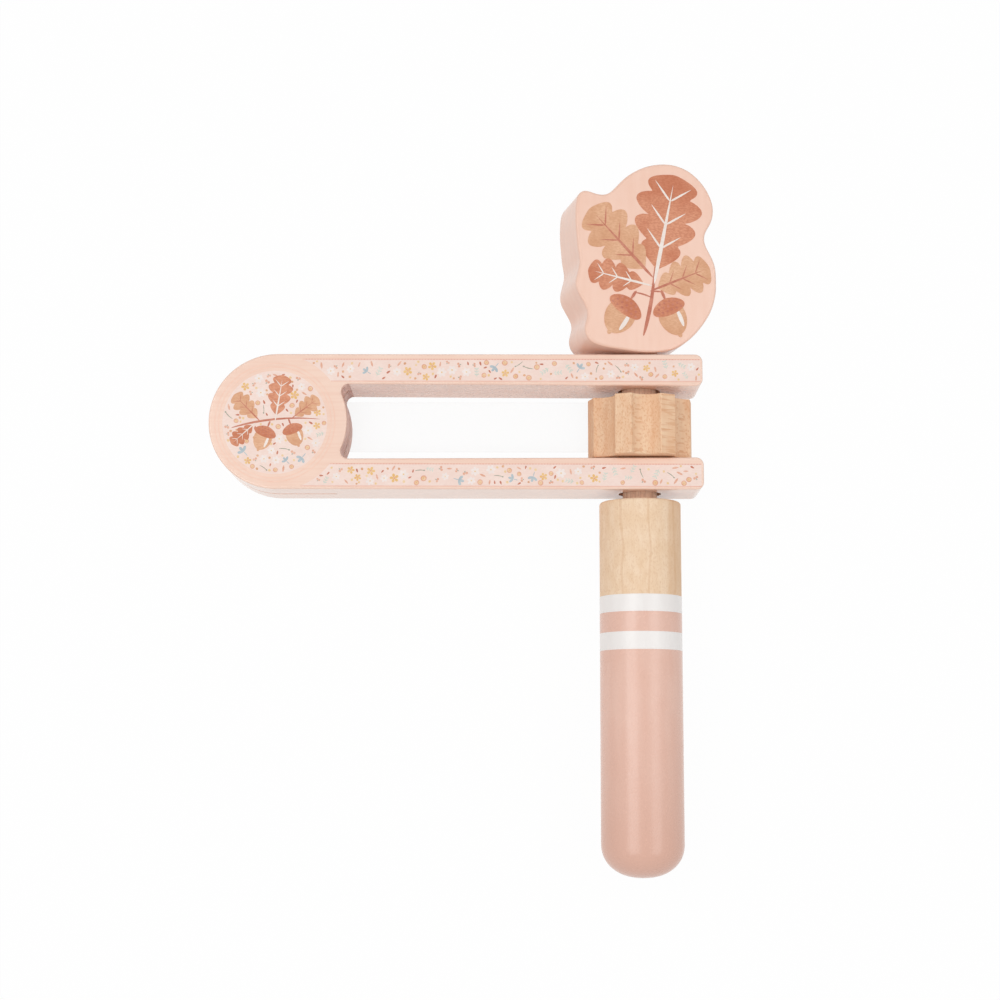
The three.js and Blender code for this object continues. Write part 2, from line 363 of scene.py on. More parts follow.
# The slot is sawn, not planed: its long walls are duller than the outside. Their paint is a paler, whiter
# copy of the outside's, as painted light on the slot's walls.
dullPaintPaintedLighter = paintLook("dullPeachPaintOnSawnWoodWithPaintedLight", {
    "light": "#ffe5d7", "deep": "#fad8c8", "roughness": 0.3, "fibreSize": (30.0, 1.2, 1.2), "relief": 0.004,
})
# The slot's closed end is sawn across the fibres. It drinks the paint unevenly and keeps the saw's lines.
# Its dark deep tone is also painted shade for the recessed end of the slot.
endGrainPaintAndShade = paintLook("peachPaintOnSawnEndGrainWithPaintedShade", {
    "light": "#f3cdbc", "deep": "#b87f70", "roughness": 0.45, "fibreSize": (0.7, 18.0, 0.7), "relief": 0.05,
})

slotHalf = frameHalf - frameShape["armHeight"]
slotEndHalf = frameHalf - frameShape["armEndHeight"]
wallRadius = frameHalf + frameShape["wallPastRound"]
filletY = slotHalf - frameShape["slotCorner"]
filletX = roundCentre.x + math.sqrt((wallRadius + frameShape["slotCorner"]) ** 2 - filletY ** 2)
filletTurn = math.atan2(filletY, filletX - roundCentre.x)


def makeFrame():
    corner, cornerSteps = frameShape["armCorner"], frameShape["cornerSteps"]
    right = frameHigh.x - corner
    pen = OutlinePen(roundCentre.x, frameLow.y)
    pen.line(right, frameLow.y)
    pen.arc(right, frameLow.y + corner, quarterTurn, cornerSteps)
    pen.line(frameHigh.x, middleY - slotEndHalf - corner)
    pen.arc(right, middleY - slotEndHalf - corner, quarterTurn, cornerSteps)
    pen.line(filletX, middleY - slotHalf)
    pen.arc(filletX, middleY - filletY, -quarterTurn - filletTurn, frameShape["filletSteps"])
    pen.arc(roundCentre.x, middleY, 2 * filletTurn, frameShape["wallSteps"])
    pen.arc(filletX, middleY + filletY, -quarterTurn - filletTurn, frameShape["filletSteps"])
    pen.line(right, middleY + slotEndHalf)
    pen.arc(right, middleY + slotEndHalf + corner, quarterTurn, cornerSteps)
    pen.line(frameHigh.x, frameHigh.y - corner)
    pen.arc(right, frameHigh.y - corner, quarterTurn, cornerSteps)
    pen.line(roundCentre.x, frameHigh.y)
    pen.arc(roundCentre.x, middleY, math.pi, frameShape["roundSteps"])
    board = pen.close()
    raiseBoard(board, frameHigh.z - frameLow.z, frameShape["edgeEase"], frameShape["easeSteps"])
    toMiddle = Matrix.Translation((0, 0, axleZ))
    piece = meshObject("frame_board", moved(board, toMiddle), [peachPaint, dullPaintPaintedLighter, endGrainPaintAndShade])

    sawRadius = frameShape["sawRadius"]
    sawX = roundCentre.x + wallRadius + frameShape["sawPastWall"] - sawRadius
    saw = OutlinePen(sawX, middleY - sawRadius)
    saw.arc(sawX, middleY, math.pi, frameShape["roundSteps"])
    saw.line(frameLow.x - cutPast, middleY + sawRadius)
    saw.line(frameLow.x - cutPast, middleY - sawRadius)
    blade = saw.close()
    raiseBoard(blade, frameShape["sawCut"])
    cutAway(piece, [
        axleDrill(frameShape["holeRadius"], frameLow.y - cutPast, frameHigh.y + cutPast),
        moved(blade, toMiddle),
    ])
    # The slot's long walls take the paler paint, which is painted light. Its closed end takes the end-grain
    # paint, whose dark tone is partly painted shade.
    for face in piece.data.polygons:
        inSlot = abs(face.center.y - middleY) < slotHalf + near and face.center.x > roundCentre.x
        if inSlot and face.center.x < frameHigh.x - near and abs(face.normal.z) < frameShape["wallSlope"]:
            atEnd = face.center.x < filletX and face.normal.x > frameShape["endSlope"]
            face.material_index = 2 if atEnd else 1
    return finishPiece(piece, "spinner", ["frame"])


makeFrame()
print("frame board made")


# The tongue: a clear sheet glued into the saw cut

tongueShape = {
    "thickness": 0.9 * mm,
    "sideGap": 3.5 * mm,
    "tipRadius": 1.5 * mm,
    "shoulderRadius": 3.0 * mm,
    "cornerSteps": 8,
    "rootLength": 16.8 * mm,  # from the round end's centre to the shoulders, which fill the saw cut
    "rootSteps": 96,
    "setBack": 0.3 * mm,
    "edgeEase": 0.1 * mm,
    "edgeSlope": 0.9,  # a face belongs to the sheet's edge where its normal points less upwards than this
}


def makeTongue():
    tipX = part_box("tongue")[1].x
    half = slotHalf - tongueShape["sideGap"]
    tip, shoulder = tongueShape["tipRadius"], tongueShape["shoulderRadius"]
    steps = tongueShape["cornerSteps"]
    rootRadius = frameHalf - tongueShape["setBack"]
    shoulderX = roundCentre.x + tongueShape["rootLength"]
    pen = OutlinePen(roundCentre.x, middleY - rootRadius)
    pen.line(shoulderX, middleY - rootRadius)
    pen.line(shoulderX, middleY - half - shoulder)
    pen.arc(shoulderX + shoulder, middleY - half - shoulder, -quarterTurn, steps)
    pen.line(tipX - tip, middleY - half)
    pen.arc(tipX - tip, middleY - half + tip, quarterTurn, steps)
    pen.line(tipX, middleY + half - tip)
    pen.arc(tipX - tip, middleY + half - tip, quarterTurn, steps)
    pen.line(shoulderX + shoulder, middleY + half)
    pen.arc(shoulderX + shoulder, middleY + half + shoulder, -quarterTurn, steps)
    pen.line(shoulderX, middleY + rootRadius)
    pen.line(roundCentre.x, middleY + rootRadius)
    pen.arc(roundCentre.x, middleY, math.pi, tongueShape["rootSteps"])
    sheet = pen.close()
    raiseBoard(sheet, tongueShape["thickness"], tongueShape["edgeEase"])

    # Clear PET sheet, rolled: hardly seen face on, and a soft gloss from the side
    clear, tree, surface = newMaterial("clearRolledPetSheet", {
        "Base Color": hexColour("#f7f9fa"), "Roughness": 0.08, "IOR": 1.57, "Alpha": 0.06,
    })
    ripple = addNode(tree, "ShaderNodeTexNoise", {
        "Vector": patternPlace(tree, (18, 6, 6)), "Scale": 1, "Detail": 1, "Roughness": 0.4,
    })
    bump = addNode(tree, "ShaderNodeBump", {"Height": ripple, "Strength": 1, "Distance": 0.02 * mm})
    feed(tree, surface, {"Normal": bump})
    piece = meshObject("clear_tongue", moved(sheet, Matrix.Translation((0, 0, axleZ))), [clear, peachPaint])
    for face in piece.data.polygons:  # the frame's paint runs over the sheet's edge at the round end
        if abs(face.normal.z) < tongueShape["edgeSlope"] and face.center.x < shoulderX - near:
            face.material_index = 1
    return finishPiece(piece, "spinner", ["tongue"])


makeTongue()
print("tongue made")


# The axle: a plain beech dowel

axleShape = {
    "chamfer": 0.8 * mm,
    "steps": 96,
}

# Beech dowel, rolled and left bare: pale and dry, with fine long fibres and short dark flecks
beechDowel = woodLook("bareBeechDowel", {
    "heart": 0.4, "pale": "#f7d8c0", "warm": "#f0c9ae", "line": "#cf9f86", "ray": "#b98a6e",
    "mottle": (1.5, 20.0, 1.5), "fibreSize": (0.3, 6.0, 0.3), "fibreStrength": 0.22,
    "lineSpacing": 1.4, "lineShift": 0.0, "lineWander": 1.6, "wanderLength": 30.0,
    "lineFrom": 0.75, "lineStrength": 0.4, "fleckSize": (0.2, 1.4, 0.4), "fleckStrength": 0.3,
    "raySize": (0.2, 1.6, 0.6), "rayFrom": 0.64, "rayStrength": 0.5,
})


def makeAxle():
    chamfer = axleShape["chamfer"]
    pen = OutlinePen(0, axleLow.y)
    pen.line(axleRadius - chamfer, axleLow.y)
    pen.line(axleRadius, axleLow.y + chamfer)
    pen.line(axleRadius, axleHigh.y - chamfer)
    pen.line(axleRadius - chamfer, axleHigh.y)
    pen.line(0, axleHigh.y)
    return turnedPiece("axle_dowel", pen, [beechDowel], axleShape["steps"], ["axle"])


makeAxle()
print("axle made")


# The gear: a seven-toothed star, sawn from a beech bar whose fibres run along the axle

gearShape = {
    "teeth": 7,
    "tipRadius": 15.45 * mm,
    "tipWidth": 5.2 * mm,
    "gulletDepth": 3.0 * mm,
    "gulletSteps": 28,
    "edgeEase": 0.3 * mm,
    "tipWear": 0.36 * mm,
    "easeSteps": 3,
    "firstGullet": math.pi + math.radians(8.9),
    "boreRadius": 5.12 * mm,
}

# Beech, sawn to a star and sanded: warm straw and matt, flecked on one flank and barred on the next
gearWood = woodLook("sawnAndSandedBeech", {
    "heart": math.radians(60.3), "pale": "#f2cfad", "warm": "#ecc19c", "line": "#dfa981", "ray": "#d99f74",
    "mottle": (3.0, 9.0, 5.0), "fibreSize": (0.3, 6.0, 0.3), "fibreStrength": 0.24,
    "lineSpacing": 5.5, "lineShift": 1.0, "lineWander": 2.5, "wanderLength": 22.0,
    "lineFrom": 0.8, "lineStrength": 0.25, "fleckSize": (0.26, 1.0, 6.0), "fleckStrength": 0.5,
    "raySize": (0.26, 0.8, 8.0), "rayFrom": 0.57, "rayStrength": 0.5,
})


def makeGear():
    pitch = 2 * math.pi / gearShape["teeth"]
    tip = gearShape["tipRadius"]
    gapHalf = pitch / 2 - math.asin(gearShape["tipWidth"] / 2 / tip)
    chordHalf = tip * math.sin(gapHalf)
    sagitta = tip * math.cos(gapHalf) - (tip - gearShape["gulletDepth"])
    gulletRadius = (chordHalf ** 2 + sagitta ** 2) / (2 * sagitta)
    gulletCentre = tip - gearShape["gulletDepth"] + gulletRadius
    gulletHalf = math.asin(chordHalf / gulletRadius)

    def corner(angle):
        return tip * math.cos(angle), tip * math.sin(angle)

    first = gearShape["firstGullet"]
    pen = OutlinePen(*corner(first - gapHalf))
    for tooth in range(gearShape["teeth"]):
        middle = first + tooth * pitch
        pen.arc(gulletCentre * math.cos(middle), gulletCentre * math.sin(middle), -2 * gulletHalf,
                gearShape["gulletSteps"])
        pen.line(*corner(middle + pitch - gapHalf))
    star = pen.close()
    raiseBoard(star, gearHigh.y - gearLow.y)
    tips = [e for e in star.edges
            if abs(e.verts[0].co.z - e.verts[1].co.z) > near and e.verts[0].co.xy.length > tip - near]
    easeEdges(star, tips, gearShape["tipWear"], gearShape["easeSteps"])
    rims = [e for e in star.edges if len({round(f.normal.z) for f in e.link_faces}) == 2]
    easeEdges(star, rims, gearShape["edgeEase"], gearShape["easeSteps"])
    stand = Matrix.Rotation(quarterTurn, 4, "X")
    place = Matrix.Translation((axleX, (gearLow.y + gearHigh.y) / 2, axleZ))
    piece = meshObject("ratchet_star", moved(star, place @ stand), [gearWood])
    cutAway(piece, [axleDrill(gearShape["boreRadius"], gearLow.y - cutPast, gearHigh.y + cutPast)])
    return finishPiece(piece, "rotor", ["ratchet_gear"])


makeGear()
print("gear made")


# The handle: turned wood, bare at the top, then four bands of paint

handleShape = {
    "paintThickness": 0.07 * mm,
    "steps": 160,
    "topRadius": 0.8 * mm,
    "topSteps": 8,
    "domeHeight": 9.8 * mm,
    "domePower": 2.2,
    "domeSteps": 40,
    "socketRadius": 5.15 * mm,
    "socketDepth": 32.0 * mm,
    "bareLength": 27.77 * mm,
    "bandEnds": [32.77 * mm, 38.48 * mm, 43.64 * mm],
    "bandSeam": 0.05 * mm,
}

# Maple, turned and sanded on the lathe: close, even and dry, with a faint late line, and painted shade
# darkening one side
handleWood = woodLook("turnedBareMaple", {
    "heart": 0.0, "pale": "#f5dabd", "warm": "#efd0af", "line": "#d8a97c", "ray": "#dcb48c",
    "mottle": (2.5, 5.0, 2.5), "fibreSize": (0.3, 6.0, 0.3), "fibreStrength": 0.12,
    "lineSpacing": 7.8, "lineShift": 2.4 - axleX / mm, "lineWander": 2.2, "wanderLength": 26.0,
    "lineFrom": 0.965, "lineStrength": 0.3, "fleckSize": (0.5, 0.8, 0.5), "fleckStrength": 0.22,
    "raySize": (0.3, 0.7, 2.0), "rayFrom": 0.62, "rayStrength": 0.3,
    "flankShadeFrom": axleX / mm + 6.8, "flankShadeFade": 1.2, "flankShadeStrength": 0.36,
})
# Satin paint, brushed on while the handle turned: an even, opaque warm white with a wide soft gloss
whitePaint = paintLook("satinWhitePaintOnTurnedWood", {
    "light": "#f4f0ed", "deep": "#f1ece9", "roughness": 0.32, "fibreSize": (3.0, 20.0, 3.0), "relief": 0.004,
})
# The same paint in dusty pink: a long soft light down its side, and painted shade that darkens it towards
# the dome
pinkPaint = paintLook("satinDustyPinkPaintOnTurnedWood", {
    "light": "#e9c0af", "deep": "#e6baa8", "roughness": 0.24, "fibreSize": (3.0, 20.0, 3.0), "relief": 0.004,
    "domeShade": "#dcae9b", "domeShadeEnd": handleLow.y - 5 * mm, "domeShadeFrom": handleLow.y + 52 * mm,
})


def makeHandle():
    painted = (handleHigh.x - handleLow.x) / 2
    bare = painted - handleShape["paintThickness"]
    seam, bareLength = handleShape["bandSeam"], handleShape["bareLength"]
    socket, socketDepth = handleShape["socketRadius"], handleShape["socketDepth"]
    dome, power = handleShape["domeHeight"], 2 / handleShape["domePower"]
    top = handleHigh.y
    pen = OutlinePen(0, handleLow.y)
    for step in range(1, handleShape["domeSteps"] + 1):  # a rounded square in section
        angle = quarterTurn * step / handleShape["domeSteps"]
        out, down = math.sin(angle) ** power, max(math.cos(angle), 0) ** power
        pen.line(painted * out, handleLow.y + dome - dome * down)
    for end in reversed(handleShape["bandEnds"]):  # two coats meet in a hairline groove
        pen.line(painted, top - end - seam)
        pen.line(painted - seam, top - end)
        pen.line(painted, top - end + seam)
    pen.line(painted, top - bareLength - seam)
    pen.line(bare, top - bareLength)
    radius = handleShape["topRadius"]
    pen.line(bare, top - radius)
    pen.arc(bare - radius, top - radius, quarterTurn, handleShape["topSteps"])
    pen.line(socket, top)
    pen.line(socket, top - socketDepth)
    pen.line(0, top - socketDepth)
    piece = turnedPiece("turned_handle", pen, [handleWood, whitePaint, pinkPaint], handleShape["steps"],
                        ["handle"])
    edges = [bareLength, *handleShape["bandEnds"]]
    coats = [0, 1, 2, 1, 2]
    for face in piece.data.polygons:
        out = Vector((face.center.x - axleX, face.center.z - axleZ)).length
        deep = top - face.center.y
        inSocket = out < socket + near and deep < socketDepth + near
        face.material_index = 0 if inSocket else coats[sum(deep > edge for edge in edges)]
    return piece


makeHandle()
print("handle made")


# The head block: a board cut along a wavy outline, turned a little on the axle

headShape = {
    "turn": math.radians(12.5),
    "thickness": 20.0 * mm,
    "edgeEase": 0.75 * mm,
    "easeSteps": 5,
    "sliceHeight": 8.0 * mm,
    "straightAngle": math.radians(0.6),
    "outlineCuts": 2,
    "smoothRounds": 5,
    "smoothFactor": 0.5,
    "printGap": 0.7 * mm,
}

# Satin paint sprayed on a sawn and sanded board: flat peach, softly glossy where the edge is rounded
headPaint = paintLook("satinPeachPaintOnHeadBoard", {
    "light": "#f4ccb8", "deep": "#f2c8b3", "roughness": 0.22, "fibreSize": (2.0, 24.0, 2.0), "relief": 0.01,
})

headTurned = Matrix.Translation((axleX, 0, axleZ)) @ Matrix.Rotation(headShape["turn"], 4, "Y")


def makeHead():
    bm = bmesh.new()
    bm.from_mesh(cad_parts["head_block"].data)  # a copy, sliced above its socket for the outline
    moved(bm, headTurned.inverted())
    bmesh.ops.remove_doubles(bm, verts=bm.verts[:], dist=weldDistance)
    bmesh.ops.bisect_plane(bm, geom=bm.verts[:] + bm.edges[:] + bm.faces[:], dist=weldDistance / 10,
                           plane_co=(0, 0, headShape["sliceHeight"]), plane_no=(0, 0, 1),
                           clear_inner=True, clear_outer=True)
    straight = headShape["straightAngle"]
    flat = [v for v in bm.verts if len(v.link_edges) == 2 and v.calc_edge_angle(0) < straight]
    bmesh.ops.dissolve_verts(bm, verts=flat)
    bmesh.ops.scale(bm, vec=(1, 1, 0), verts=bm.verts[:])
    bmesh.ops.subdivide_edges(bm, edges=bm.edges[:], cuts=headShape["outlineCuts"])
    for _ in range(headShape["smoothRounds"]):
        bmesh.ops.smooth_vert(bm, verts=bm.verts[:], factor=headShape["smoothFactor"],
                              use_axis_x=True, use_axis_y=True)
    bmesh.ops.contextual_create(bm, geom=bm.edges[:])
    raiseBoard(bm, headShape["thickness"], headShape["edgeEase"], headShape["easeSteps"])
    piece = meshObject("head_board", moved(bm, headTurned), [headPaint])
    return finishPiece(piece, "rotor", ["head_block"])


makeHead()
print("head board made")


# Printing: flat shapes of ink, a few hundredths of a millimetre proud of the paint

inks = {  # the wash where it is light and deep, the specks, their strength, and how wide the wash pools
    "panel": ("#f6e0d6", "#f3dacf", "#edd0c4", 0.35, 6.0),
    "line": ("#efc3b3", "#ecbba9", "#e6b09d", 0.3, 3.0),
    "dash": ("#e4a896", "#df9e8b", "#d8927f", 0.3, 3.0),
    "ring": ("#f6d1be", "#f3cab6", "#eec0ab", 0.3, 3.0),
    "terracotta": ("#edbfa8", "#e2a98f", "#d79579", 0.35, 1.5),
    "tan": ("#e9b995", "#dba47e", "#cc8f69", 0.4, 7.0),
    "russet": ("#df9b7a", "#cb7d5b", "#b96746", 0.45, 10.0),
    "brick": ("#d28c74", "#c1735c", "#b06149", 0.3, 2.0),
    "mustard": ("#f0cb90", "#e8b974", "#dea75e", 0.3, 1.5),
    "straw": ("#f2d6ab", "#ecc793", "#e4b87f", 0.3, 1.5),
    "blue": ("#c0cacd", "#afbcc2", "#9dacb4", 0.3, 2.0),
    "sage": ("#dfe0d6", "#d1d6ca", "#c3cabd", 0.3, 2.0),
    "olive": ("#b3b2a0", "#9c9b88", "#8a8a76", 0.3, 1.5),
    "chalk": ("#f5eae5", "#f1e4de", "#ecdbd4", 0.3, 2.0),
    "cream": ("#f8efe8", "#f2e5db", "#ead8cc", 0.35, 3.0),
}
inkMaterials = {name: inkLook(f"flatPrinted{name.capitalize()}Ink", *ink) for name, ink in inks.items()}

printing = {
    "inkDepth": 0.15 * mm,  # each shape reaches a little into the paint, so no ink floats
    "proud": 0.02 * mm,
    "layer": 0.007 * mm,  # inks that overlap stand this far apart
    "lobeRound": 0.7,
}


# One print job: a bmesh for each ink, drawn in millimetres round the job's own centre
class PrintJob:
    def __init__(self):
        self.sheets = {}

    def sheet(self, ink):
        return self.sheets.setdefault(ink, bmesh.new())

    # A closed blot of ink from a circle: sharp points its ends, taper makes it a drop, bend bows it, and
    # lobes cuts rounded bays into its sides as on an oak leaf, which sweep leans towards the tip
    def blot(self, ink, x, y, length, width, turn=0.0, layer=1, steps=12, sharp=0.0, taper=0.0, bend=0.0,
             lobes=0, bay=0.0, sweep=0.0):
        bm = self.sheet(ink)
        made = bmesh.ops.create_circle(bm, cap_ends=True, segments=steps, radius=1)["verts"]
        for v in made:
            along, across = v.co.x, v.co.y
            across *= max(1 - along ** 2, 0) ** sharp * (1 + taper * along)
            if lobes:
                share = (along + 1) / 2
                across *= 1 - bay * (1 - abs(math.sin(math.pi * lobes * share)) ** printing["lobeRound"])
            v.co = ((along + sweep * abs(across)) * length / 2,
                    across * width / 2 + bend * (1 - along ** 2) * length / 2, 0)
        place = Matrix.Translation((x, y, layer * printing["layer"] / mm)) @ Matrix.Rotation(turn, 4, "Z")
        bmesh.ops.transform(bm, matrix=place, verts=made)

    # A blot that points away from (x, y), with its own middle as far out as given
    def spoke(self, ink, x, y, out, length, width, turn, **more):
        self.blot(ink, x + out * math.cos(turn), y + out * math.sin(turn), length, width, turn, **more)

    # Presses the drawn shapes on: gives each ink its thickness and sets it on the surface
    def press(self, name, place, body):
        for ink, bm in self.sheets.items():
            bmesh.ops.recalc_face_normals(bm, faces=bm.faces[:])
            for face in bm.faces:
                if face.normal.z < 0:
                    face.normal_flip()
            bmesh.ops.scale(bm, vec=(mm, mm, mm), verts=bm.verts[:])
            bmesh.ops.translate(bm, vec=(0, 0, printing["proud"]), verts=bm.verts[:])
            bmesh.ops.solidify(bm, geom=bm.faces[:], thickness=printing["inkDepth"])
            bmesh.ops.recalc_face_normals(bm, faces=bm.faces[:])
            piece = meshObject(name + "_" + ink, moved(bm, place), [inkMaterials[ink]])
            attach(piece, body)


# Little motifs. Each is drawn within about its reach of the point (x, y).
def blossom(job, x, y, reach, turn):
    for petal in range(5):
        job.spoke("mustard", x, y, 0.58 * reach, 0.84 * reach, 0.6 * reach, turn + petal * 2 * math.pi / 5,
                  layer=1 + 0.2 * petal, steps=10, taper=0.25)
    job.blot("terracotta", x, y, 0.4 * reach, 0.4 * reach, layer=3, steps=8)


def daisy(job, x, y, reach, turn):
    for petal in range(6):
        job.spoke("chalk", x, y, 0.56 * reach, 0.88 * reach, 0.6 * reach, turn + petal * math.pi / 3,
                  layer=1 + 0.2 * petal, steps=10)
    job.blot("straw", x, y, 0.34 * reach, 0.34 * reach, layer=3, steps=8)


def trefoil(job, x, y, reach, turn):
    for leaf in (-1, 0, 1):
        job.spoke("blue", x, y, 0.5 * reach, reach, 0.46 * reach, turn + leaf,
                  layer=1 + 0.2 * (leaf + 1), taper=0.25)
    job.spoke("blue", x, y, -0.45 * reach, reach, 0.16 * reach, turn, layer=1.7, steps=8)


def sprig(job, x, y, reach, turn):
    job.blot("sage", x, y, 2.0 * reach, 0.15 * reach, turn, layer=1.8, steps=8)
    for pair in (-0.4, 0.15, 0.7):
        for side in (-1, 1):
            px = x + pair * reach * math.cos(turn) - side * 0.24 * reach * math.sin(turn)
            py = y + pair * reach * math.sin(turn) + side * 0.24 * reach * math.cos(turn)
            job.blot("sage", px, py, 0.56 * reach, 0.24 * reach, turn + side * 0.8, steps=8,
                     layer=1 + 0.2 * (side + 1))


def berries(job, x, y, reach, turn):
    for side in (-1, 1):
        a = turn + side * 0.65
        job.spoke("olive", x, y, 0.05 * reach, 0.8 * reach, 0.16 * reach, a, layer=0.8 + 0.1 * side, steps=6)
        job.blot("terracotta", x + 0.62 * reach * math.cos(a), y + 0.62 * reach * math.sin(a), 0.72 * reach,
                 0.72 * reach, layer=1.4)


def rosette(job, x, y, reach, turn):
    job.blot("terracotta", x, y, 2.0 * reach, 1.9 * reach, turn, steps=16)
    job.blot("straw", x, y, 1.2 * reach, 1.1 * reach, turn, layer=2, steps=14)
    job.blot("terracotta", x, y, 0.5 * reach, 0.5 * reach, turn, layer=3, steps=8)


def seed(job, x, y, reach, turn):
    job.blot("brick", x, y, 2.0 * reach, 0.85 * reach, turn, steps=10, taper=-0.35)


def smallLeaf(job, x, y, reach, turn):
    job.blot("terracotta", x, y, 2.0 * reach, 0.62 * reach, turn, sharp=0.25)


def twig(job, x, y, reach, turn):
    job.blot("olive", x, y, 2.0 * reach, 0.17 * reach, turn, bend=0.12)
    job.spoke("olive", x, y, 0.92 * reach, 0.42 * reach, 0.3 * reach, turn, layer=1.6, steps=8)


def speck(job, x, y, reach, turn):
    job.blot("tan" if turn > 0 else "straw", x, y, 2.0 * reach, 1.8 * reach, turn, steps=8)


scatter = {
    "motifs": [  # how many of each stand in one patch, and how far each reaches in millimetres
        (trefoil, 5, 1.6), (daisy, 14, 1.35), (twig, 6, 1.4), (blossom, 8, 1.2), (sprig, 12, 1.5),
        (rosette, 18, 0.8), (berries, 16, 0.95), (smallLeaf, 20, 0.9), (seed, 20, 0.6), (speck, 46, 0.38),
    ],
    "patch": 1000,  # square millimetres
    "sizes": (0.86, 1.14),
    "gap": 0.12,
    "roomShare": 0.9,  # of its reach, that a motif keeps free round itself
    "inkShare": 0.85,  # of its reach, that a motif's ink fills at the most
    "mostTries": 1500,
}


# Strews motifs over an area, largest first, and keeps them a small gap apart
def strew(job, inside, box, area, seedNumber, taken=()):
    dice = random.Random(seedNumber)
    placed = list(taken)
    for motif, perPatch, reach in scatter["motifs"]:
        wanted = round(perPatch * area / scatter["patch"])
        tries = 0
        while wanted and tries < scatter["mostTries"]:
            tries += 1
            x, y = dice.uniform(box[0], box[1]), dice.uniform(box[2], box[3])
            size = reach * dice.uniform(*scatter["sizes"])
            turn = dice.uniform(-math.pi, math.pi)
            room = size + scatter["gap"]
            if not inside(x, y, size) or any(math.hypot(x - a, y - b) < room + r for a, b, r in placed):
                continue
            motif(job, x, y, size, turn)
            placed.append((x, y, size * scatter["roomShare"]))
            wanted -= 1


oakShape = {  # lengths are shares of a leaf's own
    "stalk": 0.08,
    "blade": 0.92,
    "bladeSteps": 160,
    "lobes": 4,
    "edge": {"sharp": 0.1, "taper": 0.18, "bay": 0.44, "sweep": 0.12},
    "veinMiddle": 0.42,
    "veinLength": 0.98,
    "veinWidth": 0.032,
    "veinTaper": -0.7,
    "ribFoot": -0.12,  # of a lobe's length, from the bay below it
    "ribTurn": 0.82,
    "ribReach": (0.34, 0.06),  # of the leaf's width: at its foot, and what the tip adds
    "ribWidth": 0.018,
    "ribTaper": -0.6,
}


# An oak leaf, its stalk end at (x, y), with a vein for each pair of lobes
def oakLeaf(job, x, y, length, width, turn, ink, veinInk, layer):
    stalk, blade, lobes = oakShape["stalk"] * length, oakShape["blade"] * length, oakShape["lobes"]
    job.spoke(ink, x, y, stalk + blade / 2, blade, width, turn, layer=layer, steps=oakShape["bladeSteps"],
              lobes=lobes, **oakShape["edge"])
    job.spoke(veinInk, x, y, oakShape["veinMiddle"] * length, oakShape["veinLength"] * length,
              oakShape["veinWidth"] * length, turn, layer=layer + 2, taper=oakShape["veinTaper"])
    least, more = oakShape["ribReach"]
    for pair in range(1, lobes):
        along = stalk + blade * (pair + oakShape["ribFoot"]) / lobes
        reach = width * (least + more * pair / lobes)
        for side in (-1, 1):
            job.spoke(veinInk, x + along * math.cos(turn), y + along * math.sin(turn), reach / 2, reach,
                      oakShape["ribWidth"] * length, turn + side * oakShape["ribTurn"],
                      layer=layer + 1.4 + 0.2 * side, steps=8, taper=oakShape["ribTaper"])


acornShape = {  # lengths are shares of an acorn's own, and widths of its width
    "width": 0.66,
    "parts": [  # ink, middle along and aside, length, width, layers up, steps, taper and bend
        ("brick", 0.1, 0, 0.24, 0.09, 2, 8, -0.3, 0),
        ("tan", 0.64, 0, 0.7, 0.9, 0, 48, -0.14, 0),
        ("tan", 0.99, 0, 0.12, 0.14, 0.4, 10, 0, 0),
        ("cream", 0.66, 0.22, 0.4, 0.13, 2, 16, 0, 0.05),
        ("russet", 0.36, 0, 0.36, 1.08, 3, 48, 0.22, 0),
    ],
    "scaleRows": [(0.26, 4), (0.35, 5), (0.44, 6)],  # how far along the cup each row lies, and its scales
    "scalePitch": 0.165,
    "scaleSize": (0.055, 0.085),
}


# An acorn that hangs along turn from its stalk's end at (x, y)
def acorn(job, x, y, length, turn, layer):
    wide = acornShape["width"] * length
    dx, dy = math.cos(turn), math.sin(turn)
    scales = [("brick", row, (k - (count - 1) / 2) * acornShape["scalePitch"], *acornShape["scaleSize"],
               5, 6, 0, 0) for row, count in acornShape["scaleRows"] for k in range(count)]
    for ink, along, aside, long, broad, up, steps, taper, bend in acornShape["parts"] + scales:
        out, across = along * length, aside * wide
        job.blot(ink, x + out * dx - across * dy, y + out * dy + across * dx, long * length, broad * wide,
                 turn, layer=layer + up, steps=steps, taper=taper, bend=bend)


# An oak twig from its list of stems, leaves and acorns
def oakTwig(job, drawn):
    for stem in drawn["stems"]:
        job.blot("brick", *stem)
    for leaf in drawn["leaves"]:
        oakLeaf(job, *leaf)
    for nut in drawn["acorns"]:
        acorn(job, *nut)


